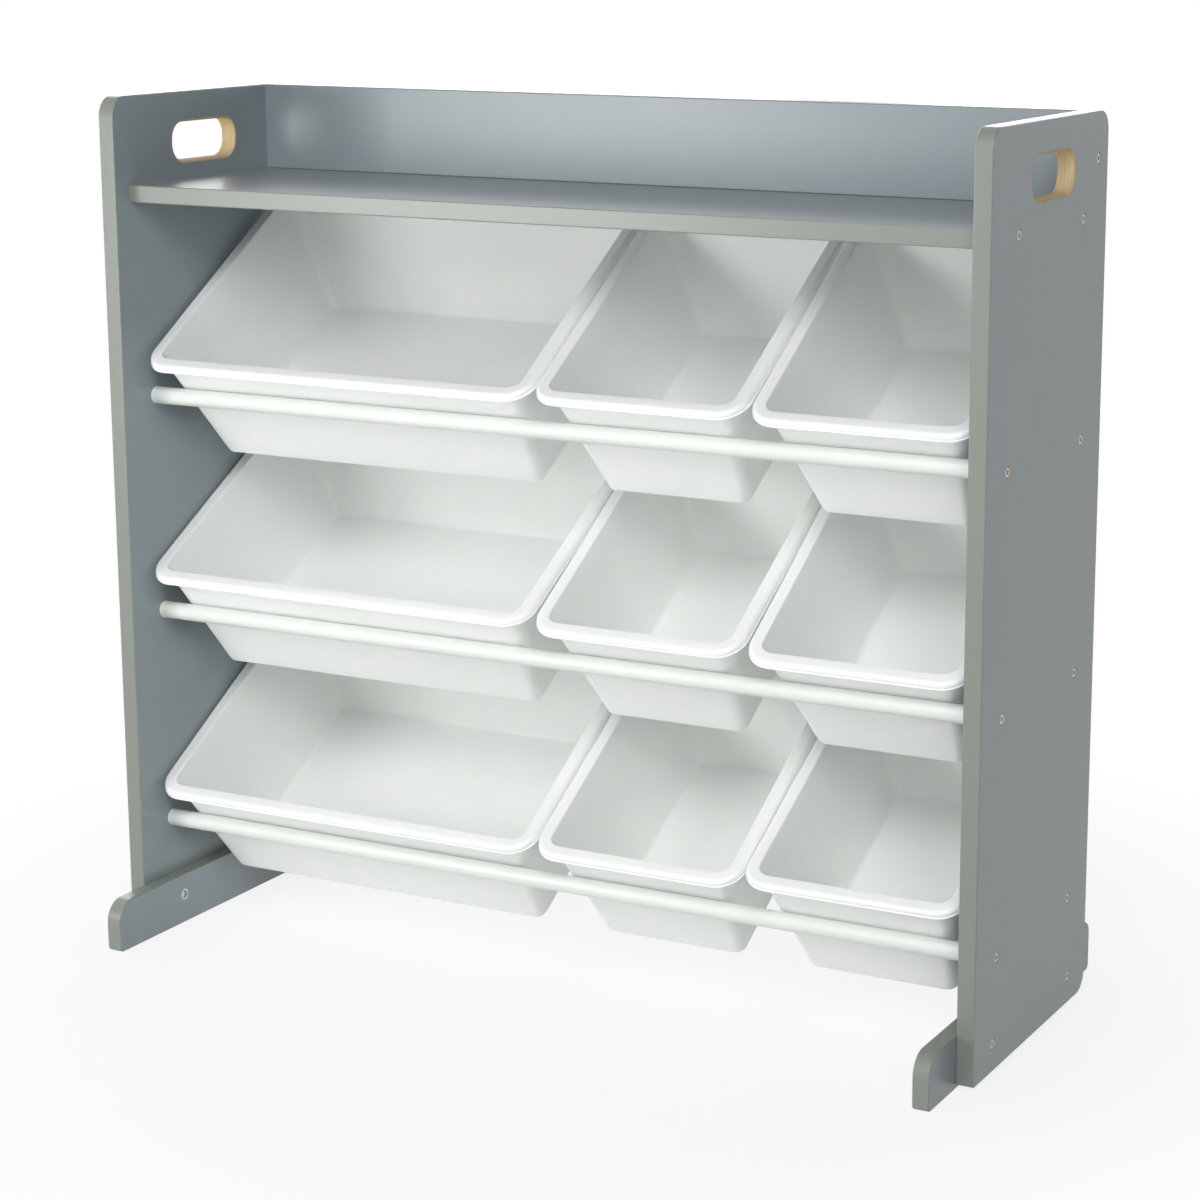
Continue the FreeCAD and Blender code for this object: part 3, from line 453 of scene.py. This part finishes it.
def seen_directly(tree):
    """1 for a ray from the camera, from a gloss or through glass, 0 for the rays that light things."""
    path = add(tree, "ShaderNodeLightPath").outputs
    bounced = add(tree, "ShaderNodeMath", {0: path["Is Glossy Ray"], 1: path["Is Transmission Ray"]},
                  operation="MAXIMUM")
    return add(tree, "ShaderNodeMath", {0: path["Is Camera Ray"], 1: bounced.outputs[0]},
               operation="MAXIMUM").outputs[0]


def floor_paper():
    """Seamless paper: matt and white, burnt out a little way from the rack, as in a bright studio.

    Seen straight or mirrored it is part glow of strength 1, wholly so from 0.9 m out, by the smooth
    step of the distance from the origin; for every other ray it is plain paper.
    """
    material, tree, bsdf = new_material("seamless_paper", Roughness=0.9, IOR=1.4)
    tone = between(tree, speckle(tree, 0.4), FLOOR_WHITE, FLOOR_WHITE_PALE)
    tree.links.new(tone, bsdf.inputs["Base Color"])
    place = add(tree, "ShaderNodeTexCoord").outputs["Object"]
    reach = add(tree, "ShaderNodeVectorMath", {0: place}, operation="LENGTH").outputs["Value"]
    burnt = add(tree, "ShaderNodeMapRange", {"Value": reach, "From Min": 0.4, "From Max": 0.9,
                                             "To Min": 0.82, "To Max": 1.0},
                interpolation_type="SMOOTHSTEP").outputs["Result"]
    share = add(tree, "ShaderNodeMath", {0: burnt, 1: seen_directly(tree)}, operation="MULTIPLY")
    glow = add(tree, "ShaderNodeEmission", {"Color": (1, 1, 1, 1), "Strength": 1.0})
    mix = add(tree, "ShaderNodeMixShader", {0: share.outputs[0], 1: bsdf.outputs[0], 2: glow.outputs[0]})
    tree.links.new(mix.outputs[0], tree.nodes["Material Output"].inputs["Surface"])
    return material


floor_mesh = bpy.data.meshes.new("floor")
floor_mesh.from_pydata([(-8, -8, 0), (8, -8, 0), (8, 8, 0), (-8, 8, 0)], [], [(0, 1, 2, 3)])
floor_mesh.materials.append(floor_paper())
floor = bpy.data.objects.new("floor", floor_mesh)
bpy.context.scene.collection.objects.link(floor)
floor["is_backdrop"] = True

world = bpy.data.worlds.new("pale_room")
world.use_nodes = True
bpy.context.scene.world = world
sky = world.node_tree
seen = add(sky, "ShaderNodeBackground", {"Color": (1, 1, 1, 1), "Strength": 1.0})
lighting = sky.nodes["Background"]
lighting.inputs["Color"].default_value = linear(ROOM_WHITE)
lighting.inputs["Strength"].default_value = 0.05
direct = seen_directly(sky)
shown = add(sky, "ShaderNodeMixShader", {0: direct, 1: lighting.outputs[0], 2: seen.outputs[0]})
sky.links.new(shown.outputs[0], sky.nodes["World Output"].inputs["Surface"])


def softbox(name, place, aim, width, height, watts):
    """Rectangular lamp whose face looks from its place to the point that it is aimed at."""
    lamp = bpy.data.lights.new(name, "AREA")
    lamp.shape = "RECTANGLE"
    lamp.size, lamp.size_y, lamp.energy = width, height, watts
    holder = bpy.data.objects.new(name, lamp)
    holder.location = place
    back = np.array(place, float) - np.array(aim, float)
    back /= np.linalg.norm(back)
    holder.rotation_euler = (np.arccos(back[2]), 0, np.arctan2(back[0], -back[1]))
    bpy.context.scene.collection.objects.link(holder)


softbox("low_left_softbox", (-1.09, -1.8, 0.58), (0, 0, 0.5), 0.66, 0.7, 16)
softbox("high_right_softbox", (1.3, -2.3, 2.3), (0, 0, 0.4), 1.3, 1.3, 33)
softbox("high_front_softbox", (0.2, -3.0, 2.2), (0, 0, 0.4), 1.6, 1.6, 28)
softbox("right_softbox", (1.9, -2.6, 1.3), (0, 0, 0.4), 1.4, 1.4, 15)
softbox("rear_left_softbox", (-1.6, 2.0, 1.4), (0, 0, 0.4), 1.6, 1.6, 20)
softbox("rear_softbox", (0.0, 2.8, 1.3), (0, 0, 0.4), 1.8, 1.4, 26)
softbox("left_softbox", (-2.4, 0.2, 1.2), (0, 0, 0.4), 1.4, 1.4, 15)

camera = bpy.data.objects.new("camera", bpy.data.cameras.new("camera"))
bpy.context.scene.collection.objects.link(camera)
camera.data.sensor_width = 36
camera.data.lens = 87.359
camera.data.shift_x = -0.08951
camera.data.shift_y = -0.0435
camera.location = (1.27293, -2.25208, 0.95240)
camera.rotation_euler = (pi / 2 - 0.2126, -0.00112, 0.47394)
bpy.context.scene.camera = camera
bpy.context.scene.view_settings.view_transform = "Standard"

low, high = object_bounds()
